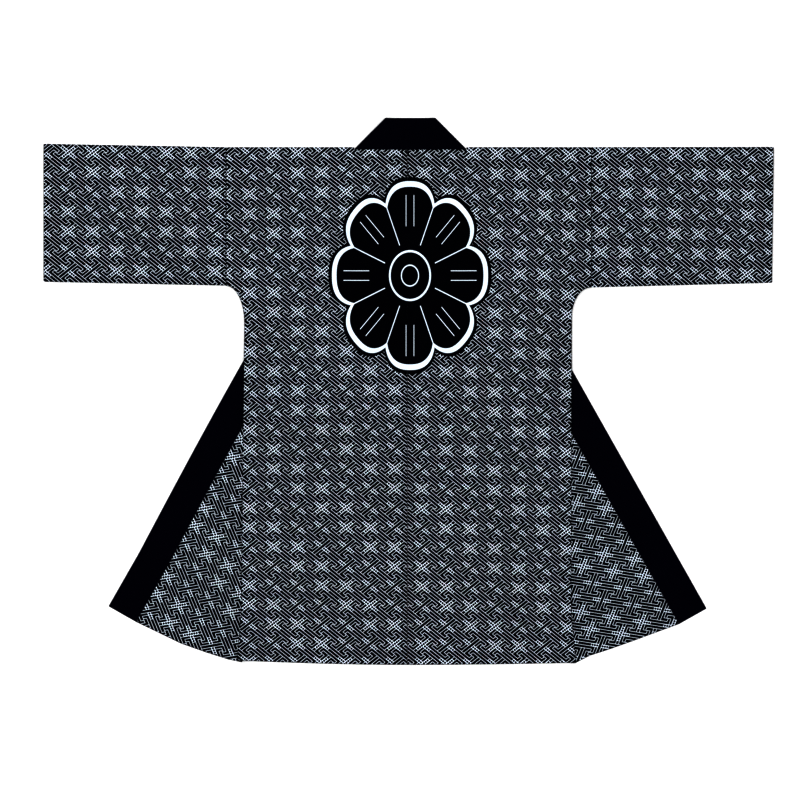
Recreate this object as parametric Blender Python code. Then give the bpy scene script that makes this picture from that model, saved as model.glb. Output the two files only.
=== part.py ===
"""Happi coat laid flat with its back up, its fronts folded out under it.

Metres, +Z up, +X to the right of the back, +Y towards the collar.
The origin is on the floor, under the middle of the laid-out coat.

Every piece is cut flat, as a maker cuts it, and given its thickness.
Then it is folded and laid down, one fold at a time:
the body halves over the shoulder, the neckband at the corners of the neck,
and both fronts outwards along a slanting line from the neck to the hem.
Three thicknesses lie on each other there: front edge, front side, back.
"""

import math
from collections import namedtuple

import bmesh
import bpy
from mathutils import Vector

# Cloth and seams
CLOTH = 0.0012
GAP = 0.0003
STEP = CLOTH + GAP
BEND_IN = GAP / 2
BEND_OUT = BEND_IN + CLOTH

# Garment, measured down from the shoulder fold and out from the middle
ARMHOLE_X = 0.325
CUFF_X = 0.650
BODY_LENGTH = 0.9215
FRONT_LENGTH = 0.948
BAND_WIDTH = 0.0555
COLLAR_STAND = 0.052
NECK_MIDDLE_X = 0.003
NECK_HALF = 0.100
NECK_SNIP = 0.0012
NECK_SNIP_LENGTH = 0.005

# The front seam is eased open a little where the slanting fold crosses it
EASE = 0.0006
EASE_REACHES = (-0.020, -0.014, 0.014, 0.020)

FLARE_DOWN = 0.830

# The shoulder fold lies where the whole coat is centred on the origin
SHOULDER_Y = (BODY_LENGTH - COLLAR_STAND) / 2

# How the cloth eases down past the edge of what lies under it
FallKnot = namedtuple("FallKnot", "distance share")
FALL = (
    FallKnot(0.001, 1.00),
    FallKnot(0.005, 0.85),
    FallKnot(0.009, 0.50),
    FallKnot(0.013, 0.15),
    FallKnot(0.017, 0.00),
)

# One row for each side, in distances outwards from the middle of the coat
Side = namedtuple(
    "Side",
    "name sign seam_x side_x low_side_x hem_side_x armhole_depth underarm_drop side_length"
    " pivot_y fold_degrees edge_bow",
)
SIDES = (
    Side("left", -1, 0.0025, 0.2925, 0.2985, 0.3060, 0.2465, 0.066, 0.9138, 0.0455, 14.86, 0.0085),
    Side("right", 1, -0.0025, 0.2905, 0.2892, 0.2985, 0.2495, 0.053, 0.9180, 0.0353, 14.70, 0.0000),
)

# Sleeve edges, measured up from the shoulder fold
SleeveCut = namedtuple("SleeveCut", "name sign root_top root_low cuff_top cuff_low cuff_lean")
SLEEVES = (
    SleeveCut("left", -1, 0.0000, -0.2461, 0.0060, -0.2392, 0.000),
    SleeveCut("right", 1, 0.0000, -0.2494, 0.0004, -0.2410, 0.003),
)

# The front hem: share of the way in from the side, and the length down on each half
HemKnot = namedtuple("HemKnot", "inwards left right")
FRONT_HEM = (
    HemKnot(0.15, 0.9243, 0.9192),
    HemKnot(0.34, 0.9330, 0.9267),
    HemKnot(0.58, 0.9420, 0.9348),
    HemKnot(1.00, FRONT_LENGTH, FRONT_LENGTH),
)

BOW_LENGTH = 0.840
BOW_CUTS = 12
HEM_CUTS = 4
ARC_POINTS = 6
FOLD_CUTS = (-1.0, -0.67, -0.33, 0.0, 0.33, 0.67, 1.0)
SEAM_CUTS = (0.33, 0.67, 1.0)

# Points closer than these count as one, for cuts, for joining and for comparing
ON_CUT = 1e-6
JOINED = 2e-6
SAME_PLACE = 1e-5

# Edges bent more than this stay sharp
SHARP_DEGREES = 40

Look = namedtuple("Look", "red green blue roughness")
PRINTED = Look(0.030, 0.031, 0.036, 0.85)
PLAIN_BLACK = Look(0.004, 0.004, 0.006, 0.80)


def neck_x(side):
    """Distance out to the seam between front and neckband."""
    return NECK_HALF + side.sign * NECK_MIDDLE_X


def edge_x(side):
    """Distance out to the free edge of the neckband, with the front closed."""
    return neck_x(side) - BAND_WIDTH


def fold_normal(side):
    """Unit vector across the slanting fold, pointing outwards."""
    angle = math.radians(side.fold_degrees)
    return Vector((math.cos(angle), math.sin(angle)))


def free_edge_normal(side):
    """Unit vector across the free edge of the folded-out front."""
    angle = 2 * math.radians(side.fold_degrees)
    return Vector((math.cos(angle), math.sin(angle)))


def pivot(side):
    """Where the slanting fold leaves the free edge of the neckband."""
    return Vector((edge_x(side), side.pivot_y))


def past_fold(side, x, y):
    """Distance outwards from the slanting fold."""
    return (Vector((x, y)) - pivot(side)).dot(fold_normal(side))


def past_free_edge(side, x, y):
    """Distance outwards from the free edge of the folded-out front."""
    return (Vector((x, y)) - pivot(side)).dot(free_edge_normal(side)) - side.edge_bow


def share(distance):
    """Share of the height that cloth keeps past an edge under it."""
    if distance <= FALL[0].distance:
        return FALL[0].share
    for near, far in zip(FALL, FALL[1:]):
        if distance <= far.distance:
            part = (distance - near.distance) / (far.distance - near.distance)
            return near.share + part * (far.share - near.share)
    return 0.0


def middle_height(side, x, y):
    """Underside of the front where it lies in place."""
    return STEP * share(past_free_edge(side, x, y))


def top_height(side, x, y):
    """Underside of the back and of the collar."""
    outside = max(edge_x(side) - x, -past_fold(side, x, y))
    return (middle_height(side, x, y) + STEP) * share(outside)


def bow(side, y):
    """How far the front edge bulges towards the middle at this height."""
    along = min(max(-y, 0.0), BOW_LENGTH)
    return side.edge_bow * math.sin(math.pi * along / BOW_LENGTH)


def lay_back(side, x, y, depth):
    """A point of the top layer, at this depth below its outside face."""
    return Vector((x, y, top_height(side, x, y) + CLOTH - depth))


def lay_front(side, x, y, depth):
    """A point of the front: in place, in the slanting fold, or folded out."""
    normal = fold_normal(side)
    distance = past_fold(side, x, y)
    if distance >= BEND_OUT:
        return Vector((x, y, middle_height(side, x, y) + depth))
    on_fold = Vector((x, y)) - distance * normal
    if distance <= -BEND_OUT:
        flat = on_fold - distance * normal
        return Vector((flat.x, flat.y, CLOTH - depth))
    turn = math.pi / 2 * (1 + distance / BEND_OUT)
    radius = BEND_IN + depth
    flat = on_fold + (BEND_OUT - radius * math.sin(turn)) * normal
    return Vector((flat.x, flat.y, BEND_OUT - radius * math.cos(turn)))


def lay_body(side, x, down, depth):
    """A point of a body half: down is positive on the back, negative on the front."""
    if down >= BEND_OUT:
        return lay_back(side, x, -down, depth)
    if down <= -BEND_OUT:
        return lay_front(side, x, down, depth)
    turn = math.pi / 2 * (1 + down / BEND_OUT)
    radius = BEND_OUT - depth
    y = -BEND_OUT + radius * math.sin(turn)
    middle = middle_height(side, x, -BEND_OUT) + BEND_OUT
    return Vector((x, y, middle - radius * math.cos(turn)))


def turn_down(side, along, y):
    """Where a point of the level strip lies once it has turned the neck corner."""
    return edge_x(side) + COLLAR_STAND - y, COLLAR_STAND - along + edge_x(side)


def lay_band(side, along, y, depth):
    """A point of the neckband, cut as a level strip at the height of the collar."""
    corner = Vector((edge_x(side), COLLAR_STAND))
    normal = Vector((1.0, 1.0)).normalized()
    flat = Vector((along, y))
    distance = (flat - corner).dot(normal)
    if distance <= -BEND_OUT:
        return lay_back(side, along, y, depth)
    if distance >= BEND_OUT:
        return lay_front(side, *turn_down(side, along, y), depth)
    turn = math.pi / 2 * (1 - distance / BEND_OUT)
    radius = BEND_OUT - depth
    flat += (-distance - BEND_OUT + radius * math.sin(turn)) * normal
    middle = middle_height(side, flat.x, flat.y) + BEND_OUT
    return Vector((flat.x, flat.y, middle - radius * math.cos(turn)))


def underarm(side):
    """The curve from the armhole down to the side seam, as (x, depth down)."""
    reach = ARMHOLE_X - side.side_x
    for step in range(ARC_POINTS + 1):
        angle = math.pi / 2 * step / ARC_POINTS
        x = ARMHOLE_X - reach * math.sin(angle)
        yield x, side.armhole_depth + side.underarm_drop * (1 - math.cos(angle))


def body_outline(side):
    """The cut edge of a body half, laid open, from the neck round the back."""
    centre = side.seam_x + GAP / 2
    front_edge = neck_x(side) + GAP
    neckline = BAND_WIDTH - COLLAR_STAND + GAP
    snip_x = front_edge + NECK_SNIP
    outline = [
        (front_edge, -neckline - NECK_SNIP_LENGTH),
        (snip_x, -neckline),
        (snip_x, neckline + NECK_SNIP),
        (front_edge - NECK_SNIP_LENGTH / 2, neckline + NECK_SNIP),
        (front_edge - NECK_SNIP_LENGTH, neckline),
        (centre, neckline),
    ]
    for step in range(HEM_CUTS):
        inwards = 1 - step / HEM_CUTS
        droop = (BODY_LENGTH - side.side_length) * math.sin(math.pi / 2 * inwards)
        x = centre + (side.hem_side_x - centre) * (1 - inwards)
        outline.append((x, side.side_length + droop))
    seam = list(underarm(side))
    seam += [(side.low_side_x, FLARE_DOWN), (side.hem_side_x, side.side_length)]
    outline += reversed(seam)
    outline += [(x, -down) for x, down in seam]
    for knot in FRONT_HEM:
        x = side.hem_side_x + (front_edge - side.hem_side_x) * knot.inwards
        outline.append((x, -getattr(knot, side.name)))
    crossing = side.pivot_y - BAND_WIDTH / math.tan(math.radians(side.fold_degrees))
    heights = [-FRONT_LENGTH * step / BOW_CUTS for step in range(1, BOW_CUTS)]
    heights += [crossing + reach for reach in EASE_REACHES]
    for y in sorted(heights):
        ease = EASE if abs(y - crossing) < EASE_REACHES[-1] - GAP else 0.0
        outline.append((front_edge + ease - bow(side, y), y))
    return outline


def flat_slab(outline):
    """A closed slab of cloth in the plane, its outside face at z = 0."""
    slab = bmesh.new()
    corners = [slab.verts.new((x, y, 0.0)) for x, y in outline]
    face = slab.faces.new(corners)
    if face.normal.z < 0:
        face.normal_flip()
    return slab


def cut_along(slab, point, normal, chosen=None):
    """Cut the flat cloth along a line, without parting it: all of it, or chosen faces."""
    faces = [face for face in slab.faces if chosen is None or chosen(face)]
    edges = {edge for face in faces for edge in face.edges}
    verts = {vert for face in faces for vert in face.verts}
    bmesh.ops.bisect_plane(
        slab,
        geom=list(verts) + list(edges) + faces,
        dist=ON_CUT,
        plane_co=(point[0], point[1], 0.0),
        plane_no=(normal[0], normal[1], 0.0),
    )


def thicken(slab):
    """Give the flat cloth its depth, as z from the outside face down."""
    bmesh.ops.triangulate(slab, faces=slab.faces[:])
    grown = bmesh.ops.extrude_face_region(slab, geom=slab.faces[:])
    moved = [item for item in grown["geom"] if isinstance(item, bmesh.types.BMVert)]
    bmesh.ops.translate(slab, verts=moved, vec=(0.0, 0.0, CLOTH))


def cut_fold(slab, point, normal, chosen=None):
    """Cuts that let the cloth bend round a fold along this line."""
    for cut in FOLD_CUTS:
        cut_along(slab, point + cut * BEND_OUT * normal, normal, chosen)


def cut_fall(slab, point, normal, chosen=None):
    """Cuts where the cloth eases down past the edge along this line."""
    for knot in FALL:
        cut_along(slab, point + knot.distance * normal, normal, chosen)


def flipped_y(vector):
    """The same line on the back, where lengths run down instead of up."""
    return Vector((vector.x, -vector.y))


def turned_corner(side, point, normal):
    """A line of the front, on the strip before it turns the neck corner."""
    corner = Vector((edge_x(side), COLLAR_STAND))
    offset = point - corner
    return corner + Vector((-offset.y, -offset.x)), Vector((-normal.y, -normal.x))


def free_edge_point(side):
    """A point on the free edge of the folded-out front, bow included."""
    return pivot(side) + side.edge_bow * free_edge_normal(side)


def on_back(face):
    """True for faces of the back, which run down from the shoulder."""
    return face.calc_center_median().y > 0


def on_front(face):
    """True for faces of the front."""
    return not on_back(face)


def cut_body(slab, side):
    """Every bend of a body half, cut while it is flat."""
    cut_fold(slab, Vector((0.0, 0.0)), Vector((0.0, 1.0)))
    outwards = free_edge_normal(side)
    edge = free_edge_point(side)
    cut_fold(slab, pivot(side), fold_normal(side), on_front)
    cut_fall(slab, edge, outwards, on_front)
    cut_fall(slab, flipped_y(edge), flipped_y(outwards), on_back)
    cut_fall(slab, flipped_y(pivot(side)), -flipped_y(fold_normal(side)), on_back)


def curve_band(slab, side):
    """Bulge the strip as the front edge bulges that it is sewn to."""
    shoulder = edge_x(side) + COLLAR_STAND
    for step in range(BOW_CUTS):
        cut_along(slab, (shoulder + FRONT_LENGTH * step / BOW_CUTS, 0.0), (1.0, 0.0))
    for vert in slab.verts:
        vert.co.y += bow(side, shoulder - vert.co.x)


def cut_band(slab, side):
    """Every bend of one half of the neckband, cut while it is a level strip."""
    corner = Vector((edge_x(side), COLLAR_STAND))
    slant = Vector((1.0, 1.0)).normalized()

    def on_neck(face):
        return (face.calc_center_median().xy - corner).dot(slant) < 0

    def on_fronts(face):
        return not on_neck(face)

    cut_fold(slab, corner, slant)
    outwards = free_edge_normal(side)
    edge = free_edge_point(side)
    cut_fall(slab, edge, outwards, on_neck)
    cut_fall(slab, corner, Vector((-1.0, 0.0)), on_neck)
    cut_fall(slab, pivot(side), -fold_normal(side), on_neck)
    cut_fold(slab, *turned_corner(side, pivot(side), fold_normal(side)), on_fronts)
    cut_fall(slab, *turned_corner(side, edge, outwards), on_fronts)


def place(slab, side, lay):
    """Fold the slab and put it on its side of the coat."""
    for vert in slab.verts:
        laid = lay(side, *vert.co)
        vert.co = (side.sign * laid.x, laid.y + SHOULDER_Y, laid.z)


def finish(slab, name, look):
    """Make the closed solid an object with its own material."""
    bmesh.ops.remove_doubles(slab, verts=slab.verts[:], dist=JOINED)
    bmesh.ops.triangulate(slab, faces=slab.faces[:])
    bmesh.ops.recalc_face_normals(slab, faces=slab.faces[:])
    mesh = bpy.data.meshes.new(name)
    slab.to_mesh(mesh)
    slab.free()
    mesh.shade_smooth()
    mesh.set_sharp_from_angle(angle=math.radians(SHARP_DEGREES))
    thing = bpy.data.objects.new(name, mesh)
    bpy.context.scene.collection.objects.link(thing)
    material = bpy.data.materials.new(name + "_cloth")
    material.use_nodes = True
    shader = material.node_tree.nodes["Principled BSDF"]
    shader.inputs["Base Color"].default_value = (look.red, look.green, look.blue, 1.0)
    shader.inputs["Roughness"].default_value = look.roughness
    shader.inputs["Metallic"].default_value = 0.0
    mesh.materials.append(material)


def make_body(side):
    """One body half: back and front in one length over the shoulder."""
    slab = flat_slab(body_outline(side))
    cut_body(slab, side)
    thicken(slab)
    place(slab, side, lay_body)
    finish(slab, "body_" + side.name, PRINTED)


def half_band(side):
    """One half of the neckband, from the middle of the neck to the front hem."""
    start = side.sign * NECK_MIDDLE_X
    end = edge_x(side) + COLLAR_STAND + FRONT_LENGTH
    low = COLLAR_STAND - BAND_WIDTH
    slab = flat_slab(((start, low), (end, low), (end, COLLAR_STAND), (start, COLLAR_STAND)))
    curve_band(slab, side)
    cut_band(slab, side)
    thicken(slab)
    place(slab, side, lay_band)
    return slab


def make_collar():
    """The neckband: both halves joined at the middle of the neck."""
    collar = bmesh.new()
    for side in SIDES:
        half = half_band(side)
        mesh = bpy.data.meshes.new("half_band")
        half.to_mesh(mesh)
        half.free()
        collar.from_mesh(mesh)
        bpy.data.meshes.remove(mesh)
    inner = [
        face
        for face in collar.faces
        if all(abs(vert.co.x - NECK_MIDDLE_X) < SAME_PLACE for vert in face.verts)
    ]
    bmesh.ops.delete(collar, geom=inner, context="FACES_ONLY")
    finish(collar, "collar", PLAIN_BLACK)


def sleeve_top(cut, x):
    """Height of the sleeve's top fold at this distance out."""
    part = (x - ARMHOLE_X) / (CUFF_X - ARMHOLE_X)
    return cut.root_top + (cut.cuff_top - cut.root_top) * part


def sleeve_depth(cut, x):
    """Depth of the flattened sleeve at this distance out."""
    root = cut.root_top - cut.root_low
    cuff = cut.cuff_top - cut.cuff_low
    return root + (cuff - root) * (x - ARMHOLE_X) / (CUFF_X - ARMHOLE_X)


def lay_sleeve(cut, x, down, depth):
    """A point of a sleeve: down is positive on the back, negative on the front."""
    lower = sleeve_depth(cut, x) - abs(down)
    face = math.copysign(1.0, down)
    radius = BEND_OUT - depth
    turn = math.pi / 2 * (1 + face * min(abs(down), lower, BEND_OUT) / BEND_OUT)
    y = -abs(down)
    if abs(down) < BEND_OUT:
        y = -BEND_OUT + radius * math.sin(turn)
    elif lower < BEND_OUT:
        y = BEND_OUT - radius * math.sin(turn) - sleeve_depth(cut, x)
    return Vector((x, y + sleeve_top(cut, x), BEND_OUT - radius * math.cos(turn)))


def on_lower_edge(cut, face):
    """True for the cut ends that meet in the sleeve's lower seam."""
    return all(
        abs(sleeve_depth(cut, vert.co.x) - abs(vert.co.y)) < SAME_PLACE for vert in face.verts
    )


def make_sleeve(cut):
    """A sleeve: one flat piece, folded at its top and closed along its lower edge."""
    root_x = ARMHOLE_X + GAP
    root = sleeve_depth(cut, root_x)
    cuff_x = CUFF_X - cut.cuff_lean
    cuff = sleeve_depth(cut, cuff_x)
    tip = (CUFF_X, 0.0)
    slab = flat_slab(((root_x, root), (cuff_x, cuff), tip, (cuff_x, -cuff), (root_x, -root)))
    cut_fold(slab, Vector((root_x, 0.0)), Vector((0.0, 1.0)))
    for face in (1, -1):
        run = Vector((cuff_x - root_x, face * (cuff - root)))
        inwards = Vector((run.y, -run.x)).normalized() * face
        edge = Vector((root_x, face * root))
        for bend in SEAM_CUTS:
            cut_along(slab, edge + bend * BEND_OUT * inwards, inwards)
    thicken(slab)
    ends = [face for face in slab.faces if on_lower_edge(cut, face)]
    bmesh.ops.delete(slab, geom=ends, context="FACES_ONLY")
    place(slab, cut, lay_sleeve)
    finish(slab, "sleeve_" + cut.name, PRINTED)


def build():
    """Clear the scene and make every piece."""
    for thing in list(bpy.data.objects):
        bpy.data.objects.remove(thing, do_unlink=True)
    for side in SIDES:
        make_body(side)
    for cut in SLEEVES:
        make_sleeve(cut)
    make_collar()


build()
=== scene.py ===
# %% [markdown]
# # A happi coat, laid flat with its back up
#
# A happi is a short festival coat of printed cotton. It is cut in straight
# pieces: two body halves that each run from the back hem over the shoulder to
# the front hem, two straight sleeves, and one plain black neckband.
# Here it lies on a pale floor, seen from straight above. Its fronts are folded
# outwards under the back, so their printed outside shows on both sides.
#
# The frame holds the plain solids of the same coat. Each is replaced by a thin
# shell of cloth, made in the same way: cut flat, given its thickness, folded.

import math
from collections import namedtuple

import bmesh
import bpy
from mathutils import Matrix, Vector, noise


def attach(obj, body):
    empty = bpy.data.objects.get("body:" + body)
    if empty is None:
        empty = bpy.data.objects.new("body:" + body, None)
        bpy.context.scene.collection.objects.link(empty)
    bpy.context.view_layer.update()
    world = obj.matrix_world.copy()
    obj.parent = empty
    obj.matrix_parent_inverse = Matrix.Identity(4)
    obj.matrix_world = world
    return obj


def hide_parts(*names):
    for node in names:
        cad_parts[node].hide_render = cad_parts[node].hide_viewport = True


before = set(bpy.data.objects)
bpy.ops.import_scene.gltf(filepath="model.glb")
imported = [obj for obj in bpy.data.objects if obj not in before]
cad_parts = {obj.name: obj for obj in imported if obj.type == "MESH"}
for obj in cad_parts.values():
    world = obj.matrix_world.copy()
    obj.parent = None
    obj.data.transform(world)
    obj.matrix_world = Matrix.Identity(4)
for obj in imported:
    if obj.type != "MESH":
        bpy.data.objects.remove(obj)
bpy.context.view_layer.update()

# %% [markdown]
# ## The sizes of the cut
#
# All lengths are in metres. Across the coat they are measured out from its
# middle, and along it from the shoulder fold. A second script could mirror the
# first half, but a laid-out coat is never quite even, so each side has a row
# of its own, and the rows differ only by how this coat happens to lie.

# %% Sizes of the cloth and the cut
CLOTH = 0.0012
LAYER_GAP = 0.0003
STEP = CLOTH + LAYER_GAP
BEND_IN = LAYER_GAP / 2
BEND_OUT = BEND_IN + CLOTH
SEAM_SLACK = 0.00005

ARMHOLE_X = 0.325
CUFF_X = 0.650
BODY_LENGTH = 0.9215
FRONT_LENGTH = 0.948
BAND_WIDTH = 0.0555
COLLAR_STAND = 0.052
NECK_MIDDLE_X = 0.003
NECK_HALF = 0.100
NECK_FOLD_DEGREES = 45
FLARE_DOWN = 0.830
BOW_LENGTH = 0.840
SHOULDER_Y = (BODY_LENGTH - COLLAR_STAND) / 2

# One row for each half: its seams and hem outwards from the middle, then lengths
# down from the shoulder, then the slanting fold of its front and that edge's bow
Side = namedtuple(
    "Side",
    "name sign seam_x side_x low_side_x hem_side_x armhole_depth underarm_drop side_length"
    " pivot_y fold_degrees edge_bow",
)
LEFT = Side(
    "left", -1, 0.0025, 0.2925, 0.2985, 0.3060, 0.2465, 0.066, 0.9138,
    0.0455, 14.86, 0.0085,
)
RIGHT = Side(
    "right", 1, -0.0025, 0.2905, 0.2892, 0.2985, 0.2495, 0.053, 0.9180,
    0.0353, 14.70, 0.0,
)

# The corners of each sleeve, up from the shoulder, and how far its cuff leans in
SleeveCut = namedtuple("SleeveCut", "name sign root_top root_low cuff_top cuff_low cuff_lean")
SLEEVES = (
    SleeveCut("left", -1, 0.0000, -0.2461, 0.0060, -0.2392, 0.000),
    SleeveCut("right", 1, 0.0000, -0.2494, 0.0004, -0.2410, 0.003),
)

# The front hem: the share of the way in from the side, and each half's length there
HemKnot = namedtuple("HemKnot", "inwards left right")
FRONT_HEM = (
    HemKnot(0.15, 0.9243, 0.9192),
    HemKnot(0.34, 0.9330, 0.9267),
    HemKnot(0.58, 0.9420, 0.9348),
    HemKnot(1.00, FRONT_LENGTH, FRONT_LENGTH),
)

print("The back is", BODY_LENGTH, "m long and", 2 * ARMHOLE_X, "m wide at the shoulders")

# %% [markdown]
# ## How the cloth lies
#
# A real front is folded outwards along a slanting line from the neck to the
# hem. Cloth simulation could fold it, but it would not land where it should.
# A fold is simple geometry: flat cloth, a half turn, and flat cloth again. So a
# short function carries each point of the flat cloth round the fold. Where the
# back reaches past the edge of what lies under it, it eases down in a soft S.

# %% Lines of the fold


def neck_x(side):
    """Distance out to the seam between front and neckband."""
    return NECK_HALF + side.sign * NECK_MIDDLE_X


def edge_x(side):
    """Distance out to the free edge of the neckband, with the front closed."""
    return neck_x(side) - BAND_WIDTH


def direction(degrees):
    """Unit vector at this angle."""
    return Vector((math.cos(math.radians(degrees)), math.sin(math.radians(degrees))))


def pivot(side):
    """Where the slanting fold leaves the free edge of the neckband."""
    return Vector((edge_x(side), side.pivot_y))


def past_fold(side, x, y):
    """Distance outwards from the slanting fold."""
    return (Vector((x, y)) - pivot(side)).dot(direction(side.fold_degrees))


def past_free_edge(side, x, y):
    """Distance outwards from the free edge of the folded-out front."""
    outwards = direction(2 * side.fold_degrees)
    return (Vector((x, y)) - pivot(side)).dot(outwards) - side.edge_bow


print("The left front is folded out", 2 * LEFT.fold_degrees, "degrees")

# %% Heights of the layers
FALL_START = 0.001
FALL_END = 0.017


def smooth(part):
    """A soft S from 0 to 1."""
    part = min(max(part, 0.0), 1.0)
    return part * part * (3 - 2 * part)


def share(distance):
    """Share of the height that cloth keeps past an edge under it."""
    return 1 - smooth((distance - FALL_START) / (FALL_END - FALL_START))


def middle_height(side, x, y):
    """Underside of the front where it lies in place."""
    return STEP * share(past_free_edge(side, x, y))


def top_height(side, x, y):
    """Underside of the back and of the collar."""
    outside = max(edge_x(side) - x, -past_fold(side, x, y))
    return (middle_height(side, x, y) + STEP) * share(outside)


def bow(side, y):
    """How far the front edge bulges towards the middle at this height."""
    along = min(max(-y, 0.0), BOW_LENGTH)
    return side.edge_bow * math.sin(math.pi * along / BOW_LENGTH)


print("Three layers of cloth are", round(2 * STEP + CLOTH, 4), "m high")

# %% Laying the body


def lay_back(side, x, y, depth):
    """A point of the top layer, at this depth below its outside face."""
    return Vector((x, y, top_height(side, x, y) + CLOTH - depth))


def lay_front(side, x, y, depth):
    """A point of the front: in place, in the slanting fold, or folded out."""
    normal = direction(side.fold_degrees)
    distance = past_fold(side, x, y)
    if distance >= BEND_OUT:
        return Vector((x, y, middle_height(side, x, y) + depth))
    on_fold = Vector((x, y)) - distance * normal
    if distance <= -BEND_OUT:
        flat = on_fold - distance * normal
        return Vector((flat.x, flat.y, CLOTH - depth))
    turn = math.pi / 2 * (1 + distance / BEND_OUT)
    radius = BEND_IN + depth
    flat = on_fold + (BEND_OUT - radius * math.sin(turn)) * normal
    return Vector((flat.x, flat.y, BEND_OUT - radius * math.cos(turn)))


def lay_body(side, x, down, depth):
    """A point of a body half: down is positive on the back, negative on the front."""
    if down >= BEND_OUT:
        return lay_back(side, x, -down, depth)
    if down <= -BEND_OUT:
        return lay_front(side, x, down, depth)
    turn = math.pi / 2 * (1 + down / BEND_OUT)
    radius = BEND_OUT - depth
    y = -BEND_OUT + radius * math.sin(turn)
    middle = middle_height(side, x, -BEND_OUT) + BEND_OUT
    return Vector((x, y, middle - radius * math.cos(turn)))


print("The back lies", round(lay_body(LEFT, 0.2, 0.5, CLOTH).z, 4), "m above the floor")

# %% [markdown]
# ## A flat piece of cloth
#
# Cotton is cut flat before it is sewn, and so is each piece here. A ready-made
# grid would have ragged edges along the slanting hems, so a piece starts as one
# flat face with the outline that the scissors would cut. Insetting it leaves
# narrow rings along its edges, for the seam grooves and the turned-in
# allowances. Straight cuts across it then give the even grid that lets it bend.

# %% Flat cloth and its rings
RINGS = (0.0008, 0.0014, 0.0098, 0.0010)
ALLOWANCE = sum(RINGS[:3])
RING_CUTS = (RINGS[0], RINGS[0] + RINGS[1], ALLOWANCE, ALLOWANCE + RINGS[3])


def flat_face(outline):
    """One flat face of cloth in the plane."""
    cloth = bmesh.new()
    face = cloth.faces.new([cloth.verts.new((x, y, 0.0)) for x, y in outline])
    if face.normal.z < 0:
        face.normal_flip()
    return cloth


def cut_rings(cloth):
    """Narrow rings along the outline, for grooves and allowances."""
    middle = cloth.faces[:]
    for width in RINGS:
        bmesh.ops.inset_region(cloth, faces=middle, thickness=width, use_even_offset=True)


print("Each edge has", len(RINGS), "rings round an allowance of", round(ALLOWANCE, 4), "m")

# %% Straight cuts
GRID = 0.0075
FOLD_CUTS = (-1.0, -0.67, -0.33, 0.0, 0.33, 0.67, 1.0)
FALL_CUTS = 6
SAME_PLACE = 1e-5


def cut_along(cloth, point, normal, chosen=None):
    """Cut the flat cloth along a line, without parting it: all of it, or chosen faces."""
    faces = [face for face in cloth.faces if chosen is None or chosen(face)]
    edges = {edge for face in faces for edge in face.edges}
    verts = {vert for face in faces for vert in face.verts}
    bmesh.ops.bisect_plane(
        cloth,
        geom=list(verts) + list(edges) + faces,
        dist=SAME_PLACE,
        plane_co=(point[0], point[1], 0.0),
        plane_no=(normal[0], normal[1], 0.0),
    )


def cut_grid(cloth):
    """Even cuts up and across, so that the cloth can bend anywhere."""
    for axis, normal in ((1, (0.0, 1.0)), (0, (1.0, 0.0))):
        places = [vert.co[axis] for vert in cloth.verts]
        first, last = min(places), max(places)
        count = round((last - first) / GRID)
        for number in range(1, count):
            place = first + (last - first) * number / count
            cut_along(cloth, (place, place), normal)


def cut_fold(cloth, point, normal, chosen=None):
    """Close cuts along a line where the cloth turns over."""
    for cut in FOLD_CUTS:
        cut_along(cloth, point + cut * BEND_OUT * normal, normal, chosen)


def cut_fall(cloth, point, normal, chosen=None):
    """Cuts where the cloth eases down past an edge under it."""
    for number in range(FALL_CUTS + 1):
        distance = FALL_START + (FALL_END - FALL_START) * number / FALL_CUTS
        cut_along(cloth, point + distance * normal, normal, chosen)


print("Cloth has a cut every", GRID, "m, and", len(FOLD_CUTS), "close ones in a fold")

# %% Distance from the edges


def distance_to(edges, x, y):
    """Distance to the nearest of these straight edges."""
    nearest = 1.0
    for ax, ay, bx, by in edges:
        run_x, run_y = bx - ax, by - ay
        along = ((x - ax) * run_x + (y - ay) * run_y) / (run_x * run_x + run_y * run_y)
        along = min(max(along, 0.0), 1.0)
        nearest = min(nearest, math.hypot(x - ax - along * run_x, y - ay - along * run_y))
    return nearest


def edges_of(outline):
    """The straight edges between these corners, all the way round."""
    return [(*start, *end) for start, end in zip(outline, outline[1:] + outline[:1])]


print("A metre square's middle is", distance_to([(0, 0, 1, 0)], 0.5, 0.5), "m from its edge")

# %% [markdown]
# ## Thickness, seams and creases
#
# Cotton cloth is about half a millimetre thick, and its allowances and hems
# are doubled. A Solidify modifier would give one even wall, so the flat face is
# extruded instead, and each point's depth says how thick the cloth is there.
# Along each seam the outside dips into a fine groove. A coat that has been
# folded and laid out again keeps a few soft ridges where it was creased, so a
# short table places those, each with its own length, width and height.
# Ridges only rise, because the layer below leaves no room for a dip.

# %% Soft ridges
PUCKER = 0.00025
PUCKER_REACH = 0.014
PUCKER_LENGTH = 0.023
PUCKER_SLICE = 7.7
WAVE_HEIGHT = 0.0007
WAVE_LENGTH = 0.11
WAVE_SLICE = 3.1
RIDGE_ENDS = 0.7

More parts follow.
